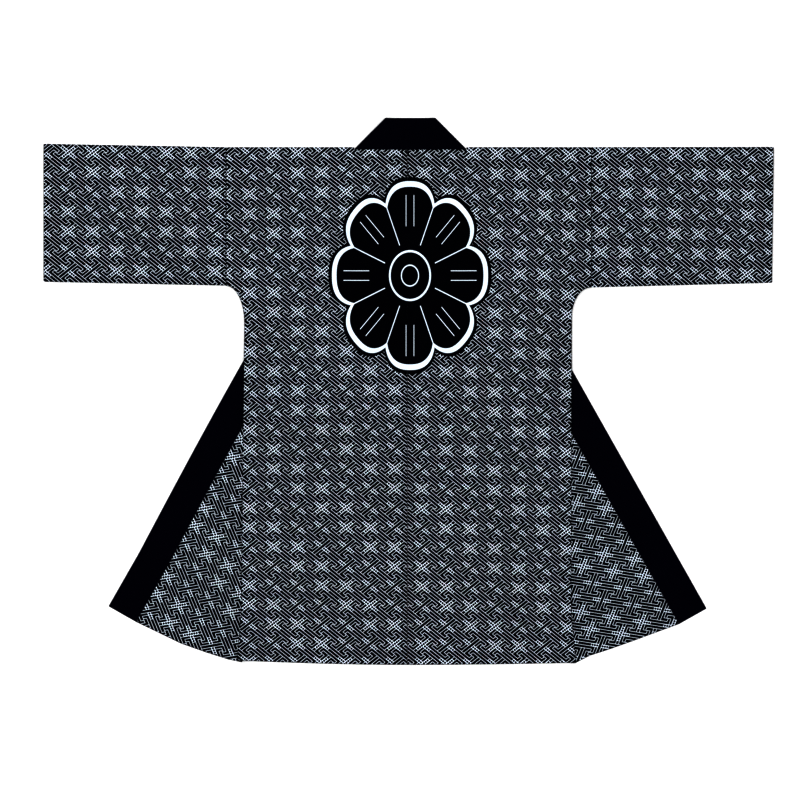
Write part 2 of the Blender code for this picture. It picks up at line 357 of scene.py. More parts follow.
Ridge = namedtuple("Ridge", "x1 y1 x2 y2 width height bend")
BACK_RIDGES = (
    Ridge(-0.285, -0.300, -0.175, -0.265, 0.020, 0.0013, 0.006),
    Ridge(0.292, -0.310, 0.200, -0.250, 0.024, 0.0012, -0.008),
    Ridge(-0.250, -0.420, -0.130, -0.560, 0.030, 0.0009, 0.012),
    Ridge(0.245, -0.520, 0.120, -0.470, 0.028, 0.0008, -0.010),
    Ridge(-0.060, -0.600, -0.045, -0.830, 0.034, 0.0009, 0.009),
    Ridge(0.110, -0.640, 0.135, -0.900, 0.032, 0.0010, -0.010),
    Ridge(-0.190, -0.760, -0.205, -0.915, 0.026, 0.0011, 0.006),
    Ridge(0.225, -0.800, 0.215, -0.915, 0.022, 0.0008, 0.005),
    Ridge(-0.150, -0.030, -0.300, -0.110, 0.030, 0.0008, 0.010),
    Ridge(0.160, -0.025, 0.310, -0.090, 0.026, 0.0009, -0.009),
    Ridge(-0.460, -0.055, -0.610, -0.080, 0.026, 0.0010, 0.007),
    Ridge(-0.340, -0.215, -0.470, -0.175, 0.022, 0.0012, -0.006),
    Ridge(-0.560, -0.170, -0.645, -0.185, 0.020, 0.0008, 0.004),
    Ridge(0.340, -0.220, 0.450, -0.165, 0.024, 0.0012, 0.007),
    Ridge(0.430, -0.070, 0.560, -0.050, 0.028, 0.0008, -0.006),
    Ridge(0.540, -0.150, 0.640, -0.200, 0.022, 0.0009, 0.005),
)


def ridge_height(ridge, x, y):
    """Height of one soft ridge at this place."""
    run = Vector((ridge.x2 - ridge.x1, ridge.y2 - ridge.y1))
    to_place = Vector((x - ridge.x1, y - ridge.y1))
    along = to_place.dot(run) / run.length_squared
    if not 0 < along < 1:
        return 0.0
    across = to_place.cross(run) / run.length - ridge.bend * math.sin(2 * math.pi * along)
    if abs(across) > ridge.width:
        return 0.0
    profile = math.cos(math.pi / 2 * across / ridge.width) ** 2
    return ridge.height * profile * math.sin(math.pi * along) ** RIDGE_ENDS


def rise(x, y, from_edge):
    """How far the top layer stands up from its solid here."""
    wave = noise.noise(Vector((x / WAVE_LENGTH, y / WAVE_LENGTH, WAVE_SLICE)))
    height = WAVE_HEIGHT * (0.5 + 0.5 * wave)
    height += sum(ridge_height(ridge, x, y) for ridge in BACK_RIDGES)
    pucker = noise.noise(Vector((x / PUCKER_LENGTH, y / PUCKER_LENGTH, PUCKER_SLICE)))
    height += PUCKER * (0.5 + 0.5 * pucker) * max(0.0, 1 - from_edge / PUCKER_REACH)
    return height


print(len(BACK_RIDGES), "ridges, up to", max(ridge.height for ridge in BACK_RIDGES), "m high")

# %% The wall, and laying it out
THIN = 0.0007
GROOVE = 0.0004
GROOVE_WIDTH = 0.0022
SHARP_DEGREES = 50


def thicken(cloth, edges, wall=THIN):
    """Give the flat cloth its wall: z is the depth below its outside face."""
    edge_layer = cloth.verts.layers.float.new("from_edge")
    for vert in cloth.verts:
        vert[edge_layer] = distance_to(edges, vert.co.x, vert.co.y)
    grown = bmesh.ops.extrude_face_region(cloth, geom=cloth.faces[:])
    inner = {item for item in grown["geom"] if isinstance(item, bmesh.types.BMVert)}
    for item in grown["geom"]:
        if isinstance(item, bmesh.types.BMFace):
            item.material_index = 1
    for vert in cloth.verts:
        if vert in inner:
            doubled = vert[edge_layer] < ALLOWANCE + RINGS[3] / 2
            vert.co.z = CLOTH if doubled else wall
        else:
            vert.co.z = GROOVE * (1 - smooth(vert[edge_layer] / GROOVE_WIDTH))
    return edge_layer


def place(cloth, side, lay, edge_layer, on_top):
    """Fold the cloth, put it on its side of the coat, and raise its ridges."""
    for vert in cloth.verts:
        flat = vert.co.copy()
        laid = lay(side, *flat)
        x, y = side.sign * laid.x, laid.y
        z = laid.z + on_top(flat) * rise(x, y, vert[edge_layer])
        vert.co = (x, y + SHOULDER_Y, z)


def finish(cloth, name):
    """Close the piece and make it an object."""
    bmesh.ops.remove_doubles(cloth, verts=cloth.verts[:], dist=SAME_PLACE)
    bmesh.ops.recalc_face_normals(cloth, faces=cloth.faces[:])
    mesh = bpy.data.meshes.new(name)
    cloth.to_mesh(mesh)
    cloth.free()
    mesh.shade_smooth()
    mesh.set_sharp_from_angle(angle=math.radians(SHARP_DEGREES))
    piece = bpy.data.objects.new(name, mesh)
    bpy.context.scene.collection.objects.link(piece)
    print(name, "has", len(mesh.polygons), "faces")
    return piece


# %% [markdown]
# ## The maps of the print
#
# The printer worked on flat cloth, so the pattern has to follow the cloth
# round its folds. Unwrapping the folded piece would have to guess how it once
# lay, so the maps are made while it is flat. One gives each point its place in
# metres, and the other counts the repeats of the print, with the start of the
# count set for each piece, as the cutter laid it on the bolt.

# %% Where the print starts on each piece
REPEAT_ACROSS = 0.043094
REPEAT_DOWN = 0.034803
SLEEVE_ACROSS = 0.043370
SLEEVE_DOWN = 0.035266

PrintStart = namedtuple("PrintStart", "across down")
PRINT_STARTS = {
    "body_left": PrintStart(-0.19815, 0.46789),
    "body_right": PrintStart(0.15273, 0.47164),
    "sleeve_left": PrintStart(-0.56204, 0.04364),
    "sleeve_right": PrintStart(0.34398, 0.04631),
}

# How far the cloth has slipped and stretched from the straight grid of the print:
# a steady part, and parts that grow across, down, with both, and with down squared
Slip = namedtuple("Slip", "steady across down both down_squared")
BACK_SLIPS = {
    "body_left": (
        Slip(-0.00025, 0.00082, -0.00386, -0.00016, 0.00503),
        Slip(0.01070, 0.02590, -0.03157, -0.04276, 0.02184),
    ),
    "body_right": (
        Slip(-0.00513, -0.00230, 0.01889, 0.00455, -0.01704),
        Slip(0.01068, -0.02186, -0.02472, 0.00716, 0.01903),
    ),
    "sleeve_left": (
        Slip(-0.00267, -0.00446, 0.00655, 0.0, 0.0),
        Slip(-0.00444, -0.00589, 0.00548, 0.0, 0.0),
    ),
    "sleeve_right": (
        Slip(-0.00027, -0.00201, 0.01403, 0.0, 0.0),
        Slip(0.00690, -0.01806, 0.00125, 0.0, 0.0),
    ),
}
FRONT_SLIPS = {
    "body_left": (
        Slip(-0.02253, 0.00273, -0.01940, 0.0, 0.0),
        Slip(0.00118, 0.01937, 0.00318, 0.0, 0.0),
    ),
    "body_right": (
        Slip(-0.00328, 0.00140, 0.00392, 0.0, 0.0),
        Slip(0.00014, 0.00694, 0.01027, 0.0, 0.0),
    ),
}
SLIP_CHANGE = 0.45

print("The print repeats every", REPEAT_ACROSS, "m across and", REPEAT_DOWN, "m down")

# %% Maps


def slipped(slip, across, down):
    """How far the print has slipped at this place on the cloth."""
    distance = slip.steady + slip.across * across + slip.down * down
    return distance + slip.both * across * down + slip.down_squared * down * down


def add_maps(cloth, sign, repeats=None):
    """Map the flat cloth, in metres and in repeats of the print."""
    cloth_map = cloth.loops.layers.uv.new("cloth")
    print_map = cloth.loops.layers.uv.new("print")
    for face in cloth.faces:
        for loop in face.loops:
            across, down = sign * loop.vert.co.x, loop.vert.co.y
            loop[cloth_map].uv = (across, down)
            loop[print_map].uv = repeats(across, down) if repeats else (across, down)


def body_repeats(name):
    """The count of repeats on a body half, from its back over into its front."""
    start = PRINT_STARTS[name]

    def repeats(across, down):
        back = [slipped(slip, across, max(down, 0.0)) for slip in BACK_SLIPS[name]]
        front = [slipped(slip, across, down) for slip in FRONT_SLIPS[name]]
        on_front = smooth(-down / SLIP_CHANGE)
        across += back[0] + (front[0] - back[0]) * on_front
        down += back[1] + (front[1] - back[1]) * on_front
        return (across - start.across) / REPEAT_ACROSS, (down - start.down) / REPEAT_DOWN

    return repeats


print("At the left armhole the count is", body_repeats("body_left")(-ARMHOLE_X, 0.0))

# %% [markdown]
# ## The body halves
#
# Each half is one length of cloth from the back hem over the shoulder to the
# front hem, and the halves are sewn together down the middle of the back. The
# side seam runs in a curve into the armhole. Back and front could be two meshes
# that meet at the shoulder, but the real coat has no seam there and the print
# runs on over it, so each half is made in one.

# %% Outline of a body half
HEM_POINTS = 4
ARC_POINTS = 8
BOW_POINTS = 14


def underarm(side):
    """The curve from the armhole down to the side seam, as (x, depth down)."""
    reach = ARMHOLE_X - side.side_x
    for step in range(ARC_POINTS + 1):
        angle = math.pi / 2 * step / ARC_POINTS
        x = ARMHOLE_X - reach * math.sin(angle)
        yield x, side.armhole_depth + side.underarm_drop * (1 - math.cos(angle))


def body_outline(side):
    """The cut edge of a body half, laid open, from the neck round the back."""
    centre = side.seam_x + SEAM_SLACK
    front_edge = neck_x(side) + SEAM_SLACK
    neckline = BAND_WIDTH - COLLAR_STAND + SEAM_SLACK
    outline = [(front_edge, neckline), (centre, neckline)]
    for step in range(HEM_POINTS):
        inwards = 1 - step / HEM_POINTS
        droop = (BODY_LENGTH - side.side_length) * math.sin(math.pi / 2 * inwards)
        x = centre + (side.hem_side_x - centre) * (1 - inwards)
        outline.append((x, side.side_length + droop))
    seam = list(underarm(side))
    seam += [(side.low_side_x, FLARE_DOWN), (side.hem_side_x, side.side_length)]
    outline += reversed(seam)
    outline += [(x, -down) for x, down in seam]
    for knot in FRONT_HEM:
        x = side.hem_side_x + (front_edge - side.hem_side_x) * knot.inwards
        outline.append((x, -getattr(knot, side.name)))
    for step in range(BOW_POINTS - 1, 0, -1):
        y = -FRONT_LENGTH * step / BOW_POINTS
        outline.append((front_edge - bow(side, y), y))
    return outline


print("A body half has", len(body_outline(LEFT)), "corners")

# %% Bends of a body half


def flipped_y(vector):
    """The same line on the back, where lengths run down instead of up."""
    return Vector((vector.x, -vector.y))


def free_edge_point(side):
    """A point on the free edge of the folded-out front, bow included."""
    return pivot(side) + side.edge_bow * direction(2 * side.fold_degrees)


def on_back(face):
    """True for faces of the back, which run down from the shoulder."""
    return face.calc_center_median().y > 0


def on_front(face):
    """True for faces of the front."""
    return not on_back(face)


def cut_body(cloth, side):
    """Every bend of a body half, cut while it is flat."""
    outwards = direction(2 * side.fold_degrees)
    slant = direction(side.fold_degrees)
    edge = free_edge_point(side)
    cut_fold(cloth, Vector((0.0, 0.0)), Vector((0.0, 1.0)))
    cut_fold(cloth, pivot(side), slant, on_front)
    cut_fall(cloth, edge, outwards, on_front)
    cut_fall(cloth, flipped_y(edge), flipped_y(outwards), on_back)
    cut_fall(cloth, flipped_y(pivot(side)), -flipped_y(slant), on_back)


print("The left free edge starts at", tuple(round(part, 4) for part in free_edge_point(LEFT)))

# %% Body halves
TOP_REACH = 0.020
FRONT_RISE = 0.6
FRONT_CLEAR = 0.004
FRONT_REACH = 0.030


def body_on_top(side):
    """Where a body half has nothing on it, so that it may rise."""

    def on_top(flat):
        if flat.y > 0:
            return smooth(flat.y / TOP_REACH)
        distance = past_fold(side, flat.x, flat.y)
        if distance >= 0:
            return 0.0
        folded = flat.xy - 2 * distance * direction(side.fold_degrees)
        return FRONT_RISE * smooth((folded.x - side.hem_side_x - FRONT_CLEAR) / FRONT_REACH)

    return on_top


def make_body(side):
    """One body half: back and front in one length over the shoulder."""
    name = "body_" + side.name
    outline = body_outline(side)
    cloth = flat_face(outline)
    cut_rings(cloth)
    cut_grid(cloth)
    cut_body(cloth, side)
    edge_layer = thicken(cloth, edges_of(outline))
    add_maps(cloth, side.sign, body_repeats(name))
    place(cloth, side, lay_body, edge_layer, body_on_top(side))
    return finish(cloth, name + "_cloth")


body_left = make_body(LEFT)
body_right = make_body(RIGHT)

# %% [markdown]
# ## The sleeves
#
# A happi sleeve is a straight tube, one length of cloth folded at the top and
# sewn along its lower edge. Laid flat it is two layers. A flattened cylinder
# would look alike, but its print would have no flat cloth to follow. So the flat
# piece is folded in half by the same kind of bend as the shoulder, and its two
# lower edges meet and are merged, as the seam does.

# %% Form of a sleeve


def sleeve_top(cut, x):
    """Height of the sleeve's top fold at this distance out."""
    part = (x - ARMHOLE_X) / (CUFF_X - ARMHOLE_X)
    return cut.root_top + (cut.cuff_top - cut.root_top) * part


def sleeve_depth(cut, x):
    """Depth of the flattened sleeve at this distance out."""
    root = cut.root_top - cut.root_low
    cuff = cut.cuff_top - cut.cuff_low
    return root + (cuff - root) * (x - ARMHOLE_X) / (CUFF_X - ARMHOLE_X)


def lay_sleeve(cut, x, down, depth):
    """A point of a sleeve: down is positive on the back, negative on the front."""
    lower = sleeve_depth(cut, x) - abs(down)
    layer = math.copysign(1.0, down)
    radius = BEND_OUT - depth
    turn = math.pi / 2 * (1 + layer * min(abs(down), lower, BEND_OUT) / BEND_OUT)
    y = -abs(down)
    if abs(down) < BEND_OUT:
        y = -BEND_OUT + radius * math.sin(turn)
    elif lower < BEND_OUT:
        y = BEND_OUT - radius * math.sin(turn) - sleeve_depth(cut, x)
    return Vector((x, y + sleeve_top(cut, x), BEND_OUT - radius * math.cos(turn)))


print("The left sleeve is", round(sleeve_depth(SLEEVES[0], CUFF_X), 4), "m deep at its cuff")

# %% Sleeves
SEAM_CUTS = (0.33, 0.67, 1.0)


def sleeve_repeats(cut):
    """The count of repeats on a sleeve, level across the coat."""
    start = PRINT_STARTS["sleeve_" + cut.name]
    slips = BACK_SLIPS["sleeve_" + cut.name]

    def repeats(across, down):
        down -= sleeve_top(cut, abs(across))
        slip_across, slip_down = [slipped(slip, across, down) for slip in slips]
        across, down = across + slip_across, down + slip_down
        return (across - start.across) / SLEEVE_ACROSS, (down - start.down) / SLEEVE_DOWN

    return repeats


def sleeve_on_top(cut):
    """Where a sleeve may rise: on its upper layer, away from its fold and its seam."""

    def on_top(flat):
        return smooth(min(flat.y, sleeve_depth(cut, flat.x) - flat.y) / TOP_REACH)

    return on_top


def on_lower_edge(cut, face):
    """True for the cut ends that meet in the sleeve's lower seam."""
    gaps = [sleeve_depth(cut, vert.co.x) - abs(vert.co.y) for vert in face.verts]
    return all(abs(gap) < SAME_PLACE for gap in gaps)


def make_sleeve(cut):
    """A sleeve: one flat piece, folded at its top and closed along its lower edge."""
    root_x = ARMHOLE_X + SEAM_SLACK
    cuff_x = CUFF_X - cut.cuff_lean
    root, cuff = sleeve_depth(cut, root_x), sleeve_depth(cut, cuff_x)
    outline = ((root_x, root), (cuff_x, cuff), (CUFF_X, 0.0), (cuff_x, -cuff), (root_x, -root))
    cloth = flat_face(outline)
    cut_grid(cloth)
    cut_fold(cloth, Vector((0.0, 0.0)), Vector((0.0, 1.0)))
    for distance in RING_CUTS:
        cut_along(cloth, (root_x + distance, 0.0), (1.0, 0.0))
        cut_along(cloth, (CUFF_X - distance, 0.0), (1.0, 0.0))
    for layer in (1, -1):
        run = Vector((cuff_x - root_x, layer * (cuff - root)))
        inwards = Vector((run.y, -run.x)).normalized() * layer
        edge = Vector((root_x, layer * root))
        for bend in SEAM_CUTS:
            cut_along(cloth, edge + bend * BEND_OUT * inwards, inwards)
    armhole_end = (root_x, root, root_x, -root)
    cuff_ends = [(cuff_x, cuff, CUFF_X, 0.0), (CUFF_X, 0.0, cuff_x, -cuff)]
    edge_layer = thicken(cloth, [armhole_end, *cuff_ends])
    sewn = [face for face in cloth.faces if on_lower_edge(cut, face)]
    bmesh.ops.delete(cloth, geom=sewn, context="FACES_ONLY")
    add_maps(cloth, cut.sign, sleeve_repeats(cut))
    place(cloth, cut, lay_sleeve, edge_layer, sleeve_on_top(cut))
    return finish(cloth, "sleeve_" + cut.name + "_cloth")


sleeve_left, sleeve_right = [make_sleeve(cut) for cut in SLEEVES]

# %% [markdown]
# ## The neckband
#
# The band is one long strip, doubled, sewn round the neck and down both front
# edges. It turns the corners of the neck in a diagonal fold and then lies on
# the folded-out fronts. A strip swept along a curve would round its corners,
# where pressed cloth turns them sharply, so the band is folded too. Each half is
# made from the middle of the neck, and the halves are merged there.

# %% Folds of the neckband


def turn_down(side, along, y):
    """Where a point of the level strip lies once it has turned the neck corner."""
    return edge_x(side) + COLLAR_STAND - y, COLLAR_STAND - along + edge_x(side)


def lay_band(side, along, y, depth):
    """A point of the neckband, cut as a level strip at the height of the collar."""
    corner = Vector((edge_x(side), COLLAR_STAND))
    normal = direction(NECK_FOLD_DEGREES)
    flat = Vector((along, y))
    distance = (flat - corner).dot(normal)
    if distance <= -BEND_OUT:
        return lay_back(side, along, y, depth)
    if distance >= BEND_OUT:
        return lay_front(side, *turn_down(side, along, y), depth)
    turn = math.pi / 2 * (1 - distance / BEND_OUT)
    radius = BEND_OUT - depth
    flat += (-distance - BEND_OUT + radius * math.sin(turn)) * normal
    middle = middle_height(side, flat.x, flat.y) + BEND_OUT
    return Vector((flat.x, flat.y, middle - radius * math.cos(turn)))


def turned_corner(side, point, normal):
    """A line of the front, on the strip before it turns the neck corner."""
    corner = Vector((edge_x(side), COLLAR_STAND))
    offset = point - corner
    return corner + Vector((-offset.y, -offset.x)), Vector((-normal.y, -normal.x))


def cut_band(cloth, side):
    """Every bend of one half of the neckband, cut while it is a level strip."""
    corner = Vector((edge_x(side), COLLAR_STAND))
    slant = direction(NECK_FOLD_DEGREES)
    fold = direction(side.fold_degrees)
    outwards = direction(2 * side.fold_degrees)
    edge = free_edge_point(side)

    def on_neck(face):
        return (face.calc_center_median().xy - corner).dot(slant) < 0

    def on_fronts(face):
        return not on_neck(face)

    cut_fold(cloth, corner, slant)
    cut_fall(cloth, edge, outwards, on_neck)
    cut_fall(cloth, corner, Vector((-1.0, 0.0)), on_neck)
    cut_fall(cloth, pivot(side), -fold, on_neck)
    cut_fold(cloth, *turned_corner(side, pivot(side), fold), on_fronts)
    cut_fall(cloth, *turned_corner(side, edge, outwards), on_fronts)


print("The band turns the neck corner", round(edge_x(LEFT), 4), "m out on the left")

# %% Neckband


def half_band(side):
    """One half of the neckband, from the middle of the neck to the front hem."""
    start = side.sign * NECK_MIDDLE_X
    end = edge_x(side) + COLLAR_STAND + FRONT_LENGTH
    low = COLLAR_STAND - BAND_WIDTH
    shoulder = edge_x(side) + COLLAR_STAND
    strip = flat_face(((start, low), (end, low), (end, COLLAR_STAND), (start, COLLAR_STAND)))
    cut_grid(strip)
    for distance in RING_CUTS:
        cut_along(strip, (0.0, low + distance), (0.0, 1.0))
        cut_along(strip, (0.0, COLLAR_STAND - distance), (0.0, 1.0))
        cut_along(strip, (end - distance, 0.0), (1.0, 0.0))
    for vert in strip.verts:
        vert.co.y += bow(side, shoulder - vert.co.x)
    cut_band(strip, side)
    sewn = [(start, low, end, low), (end, low, end, COLLAR_STAND)]
    edge_layer = thicken(strip, sewn, CLOTH)
    add_maps(strip, side.sign)
    place(strip, side, lay_band, edge_layer, lambda flat: 0.0)
    return strip


def make_collar():
    """The neckband: both halves joined at the middle of the neck."""
    collar = bmesh.new()
    for side in (LEFT, RIGHT):
        half = half_band(side)
        mesh = bpy.data.meshes.new("half_band")
        half.to_mesh(mesh)
        half.free()
        collar.from_mesh(mesh)
        bpy.data.meshes.remove(mesh)
    inner = [
        face
        for face in collar.faces
        if all(abs(vert.co.x - NECK_MIDDLE_X) < SAME_PLACE for vert in face.verts)
    ]
    bmesh.ops.delete(collar, geom=inner, context="FACES_ONLY")
    loose = [edge for edge in collar.edges if not edge.link_faces]
    bmesh.ops.delete(collar, geom=loose, context="EDGES")
    return finish(collar, "collar_cloth")


collar = make_collar()

# %% [markdown]
# ## Printed cotton
#
# The print is a traditional key fret: slanting channels that cross, fine pale
# lines that step round them, and at some crossings a pale band with dark dots.
# It is charted as a builder would draw it on squared paper. Each repeat is
# measured from its nearest crossing, and a handful of comparisons say where
# there is a line, a band or a dot. An image would blur in a close view, but
# comparisons stay sharp at any distance. Along every seam and edge the print
# is darkened by a thin line of painted shade.

# %% Nodes for a chart
LINE_HALF = 0.016


class Chart:
    """Small helpers that add Math nodes to one material."""

    def __init__(self, tree):
        self.tree = tree

    def node(self, kind, **settings):
        """Add a node and set what it is given."""
        node = self.tree.nodes.new(kind)
        for name, value in settings.items():
            setattr(node, name, value)
        return node

    def link(self, value, socket):
        """Link a socket, or type in a number."""
        if isinstance(value, bpy.types.NodeSocket):
            self.tree.links.new(value, socket)
        else:
            socket.default_value = value

    def math(self, operation, *values):
        """One Math node."""
        node = self.node("ShaderNodeMath", operation=operation)
        for value, socket in zip(values, node.inputs):
            self.link(value, socket)
        return node.outputs[0]

    def plus(self, a, b):
        return self.math("ADD", a, b)

    def minus(self, a, b):
        return self.math("SUBTRACT", a, b)

    def times(self, a, b):
        return self.math("MULTIPLY", a, b)

    def over(self, a, limit):
        return self.math("GREATER_THAN", a, limit)

    def under(self, a, limit):
        return self.math("LESS_THAN", a, limit)

    def near(self, a, middle, half=LINE_HALF):
        return self.math("COMPARE", a, middle, half)

    def all_of(self, *masks):
        """Where every mask is 1."""
        result = masks[0]
        for mask in masks[1:]:
            result = self.times(result, mask)
        return result

    def any_of(self, *masks):
        """Where at least one mask is 1."""
        result = masks[0]
        for mask in masks[1:]:
            result = self.math("MAXIMUM", result, mask)
        return result

    def map_xy(self, name):
        """The two numbers of a UV map."""
        uv = self.node("ShaderNodeUVMap", uv_map=name).outputs["UV"]
        parts = self.node("ShaderNodeSeparateXYZ")
        self.tree.links.new(uv, parts.inputs[0])
        return uv, parts.outputs["X"], parts.outputs["Y"]

    def attribute(self, name):
        """A number that the mesh holds for each point."""
        return self.node("ShaderNodeAttribute", attribute_name=name).outputs["Fac"]

    def mix(self, factor, a, b):
        """Mix two colours."""
        node = self.node("ShaderNodeMix", data_type="RGBA")
        self.link(factor, node.inputs["Factor"])
        self.link(a, node.inputs["A"])
        self.link(b, node.inputs["B"])
        return node.outputs["Result"]


print("A pale line is", 2 * LINE_HALF, "of a repeat wide")

# %% The fret
# Places along and across the channels, in repeats from the nearest crossing
CHANNEL = 0.0985
INNER_STEP = 0.2685
OUTER_STEP = 0.446
SHORT_STEP = 0.288
STAGGER = 0.028
FALLING_BAND_END = 0.578
RISING_BAND_END = 0.493
FALLING_DOT = 0.176
RISING_DOT = 0.077
DOT_STEP = 0.1543
# Two crossings in each four are full ones, and a row of dots has two past its first
CROSSINGS_IN_ROUND = 4.0
LAST_FULL_CROSSING = 1.5
DOTS_BEYOND = 2.0
# On the cloth, in metres: the dots and the width of the painted shade along every seam and edge;
# then how dark that painted shade is, and how pale the fine lines are
DOT_RADIUS = 0.00195
SEAM_SHADE_WIDTH = 0.0007
SEAM_SHADE_TONE = 0.12
LINE_TONE = 0.95


def from_nearest_dot(chart, along, first):
    """Distance to the nearest of the three dots on each side of a crossing."""
    number = chart.math("ROUND", chart.math("DIVIDE", chart.minus(along, first), DOT_STEP))
    number = chart.math("MAXIMUM", chart.math("MINIMUM", number, DOTS_BEYOND), 0.0)
    return chart.minus(along, chart.plus(chart.times(number, DOT_STEP), first))


def round_dot(chart, s_off, t_off):
    """A dot that is round on the cloth, from its distances in repeats."""
    wide = chart.times(chart.minus(s_off, t_off), REPEAT_ACROSS / 2)
    high = chart.times(chart.plus(s_off, t_off), REPEAT_DOWN / 2)
    squared = chart.plus(chart.times(wide, wide), chart.times(high, high))
    return chart.under(squared, DOT_RADIUS**2)


def fret_lines(chart, s, t, shift):
    """The pale lines, from the distances along the rising and the falling channels."""
    e = LINE_HALF
    far, close = chart.plus(shift, 0.5), chart.minus(0.5, shift)
    to_far = chart.under(t, chart.plus(far, e))
    to_close = chart.under(t, chart.plus(close, e))
    return chart.any_of(
        chart.all_of(chart.near(t, CHANNEL), chart.over(s, CHANNEL - e)),
        chart.all_of(chart.near(s, CHANNEL), chart.under(t, 1 - SHORT_STEP + e)),
        chart.all_of(chart.near(s, INNER_STEP), chart.over(t, CHANNEL), to_far),
        chart.all_of(chart.near(t, far), chart.over(s, INNER_STEP - e)),
        chart.all_of(chart.near(t, close), chart.over(s, OUTER_STEP - e)),
        chart.all_of(chart.near(s, OUTER_STEP), chart.over(t, SHORT_STEP - e), to_close),
        chart.all_of(chart.near(t, SHORT_STEP), chart.over(s, OUTER_STEP - e)),
        chart.near(t, 1 - SHORT_STEP),
        chart.near(t, 1 - CHANNEL),
    )


def fret(chart):
    """The pale lines of the print and its pale bands with their dots, as two masks."""
    _, p, q = chart.map_xy("print")
    column, row = chart.math("ROUND", p), chart.math("ROUND", q)
    p, q = chart.minus(p, column), chart.minus(q, row)
    rising, falling = chart.plus(q, p), chart.minus(q, p)
    s, t = chart.math("ABSOLUTE", rising), chart.math("ABSOLUTE", falling)
    s_signed = chart.times(rising, chart.math("SIGN", falling))
    t_signed = chart.times(falling, chart.math("SIGN", rising))
    shift = chart.times(chart.under(s_signed, 0.0), STAGGER)

    along_band = chart.all_of(chart.over(s, CHANNEL), chart.under(s, FALLING_BAND_END))
    dot = round_dot(chart, from_nearest_dot(chart, s, FALLING_DOT), t_signed)
    falling_band = chart.minus(chart.all_of(chart.under(t, CHANNEL), along_band), dot)

    place_in_round = chart.math("FLOORED_MODULO", chart.minus(column, row), CROSSINGS_IN_ROUND)
    full_crossing = chart.under(place_in_round, LAST_FULL_CROSSING)
    along_band = chart.all_of(chart.under(t, RISING_BAND_END), full_crossing)
    dot = round_dot(chart, s_signed, from_nearest_dot(chart, t, RISING_DOT))
    rising_band = chart.minus(chart.all_of(chart.under(s, CHANNEL), along_band), dot)
    return fret_lines(chart, s, t, shift), chart.any_of(falling_band, rising_band)


def fret_and_seam_shade(chart):
    """How pale the print is: the dye creeps into fine lines, and a painted shade darkens it along
    every seam and edge.
    """
    lines, bands = fret(chart)
    # Painted shade: the print is much darker within a hair's width of every seam and edge
    seam_shade = chart.any_of(chart.over(chart.attribute("from_edge"), SEAM_SHADE_WIDTH), SEAM_SHADE_TONE)
    return chart.times(seam_shade, chart.any_of(chart.times(lines, LINE_TONE), bands))


# The last number is the width of the painted shade along each seam and edge
print("Its dots are", 2 * DOT_RADIUS, "m wide, and the print turns in", SEAM_SHADE_WIDTH, "m from a seam")

# %% [markdown]
# ## The emblem on the back
#
# A festival coat carries one large emblem in the middle of the back, printed in
# solid black inside a pale outline. This one is a plain eight-petalled blossom.
# Thin pieces laid on the cloth would stand up from it, but dye does not, so it
# is a second chart in the same material. Its outline is worked out from the
# angle and the distance to its middle.

# %% Emblem
EMBLEM_ACROSS = 0.0024
EMBLEM_DOWN = 0.2285
EMBLEM_HALF_HEIGHT = 0.1755
EMBLEM_STRETCH = 0.351 / 0.290
PETALS = 8
NOTCH_DEPTH = 0.030
NOTCH_SHARPNESS = 3.0
RIM = 0.007
OUTLINE = 0.0105
OVERLAP = 0.001

# Pale lines: how far off they lie, half their width, and where they start and stop
SLIT_HALF, SLIT_START = 0.0012, 0.058
VEIN_OFF, VEIN_HALF, VEIN_START, VEIN_STOP = 0.0085, 0.0009, 0.088, 0.014
EMBLEM_RINGS = ((0.0435, 0.0022), (0.0185, 0.0014))


def emblem(chart):
    """The emblem as two masks: all that it covers, and its pale parts."""
    _, across, down = chart.map_xy("cloth")
    x = chart.times(chart.minus(across, EMBLEM_ACROSS), EMBLEM_STRETCH)
    y = chart.minus(EMBLEM_DOWN, down)
    radius = chart.math("SQRT", chart.plus(chart.times(x, x), chart.times(y, y)))
    turn = chart.times(chart.math("ARCTAN2", x, y), PETALS / (2 * math.pi))
    off_middle = chart.math("ABSOLUTE", chart.minus(turn, chart.math("ROUND", turn)))
    notch = chart.math("POWER", chart.times(off_middle, 2.0), NOTCH_SHARPNESS)
    edge = chart.minus(EMBLEM_HALF_HEIGHT, chart.times(notch, NOTCH_DEPTH))
    inside = chart.minus(edge, radius)
    outline = chart.all_of(chart.over(inside, RIM), chart.under(inside, RIM + OUTLINE))

    petal_width = chart.times(radius, 2 * math.pi / PETALS)
    slits = chart.all_of(
        chart.under(chart.times(chart.minus(0.5, off_middle), petal_width), SLIT_HALF),
        chart.over(radius, SLIT_START),
        chart.over(inside, RIM + OUTLINE - OVERLAP),
    )
    veins = chart.all_of(
        chart.near(chart.times(off_middle, petal_width), VEIN_OFF, VEIN_HALF),
        chart.over(radius, VEIN_START),
        chart.over(inside, RIM + OUTLINE + VEIN_STOP),
    )
    rings = [chart.near(radius, middle, half) for middle, half in EMBLEM_RINGS]
    return chart.over(inside, 0.0), chart.any_of(outline, slits, veins, *rings)


print("The emblem has", PETALS, "petals and is", 2 * EMBLEM_HALF_HEIGHT, "m high")

# %% [markdown]
# ## The cloth itself
#
# Plain-weave cotton is matt, with a very fine grid of threads and a few thicker
# ones. A real weave could be modelled thread by thread, but from a step away it
# is only a slight grain. So two sine waves at right angles stand for the threads
# and stretched noise for the thick ones. Together they lift the surface a little.
# The thick ones also vary the tone of the dye, the grid of threads paints shade
# into the colour, darker between the threads, and soft clouds of noise fade the
# dye from place to place.

# %% Threads
THREAD = 0.0005
THREAD_LIFT = 0.25
# How strongly the grid of threads paints shade into the colour, darker between the threads
THREAD_PAINTED_SHADE = 0.8
SLUBS_ALONG = 40.0
SLUBS_ACROSS = 1400.0


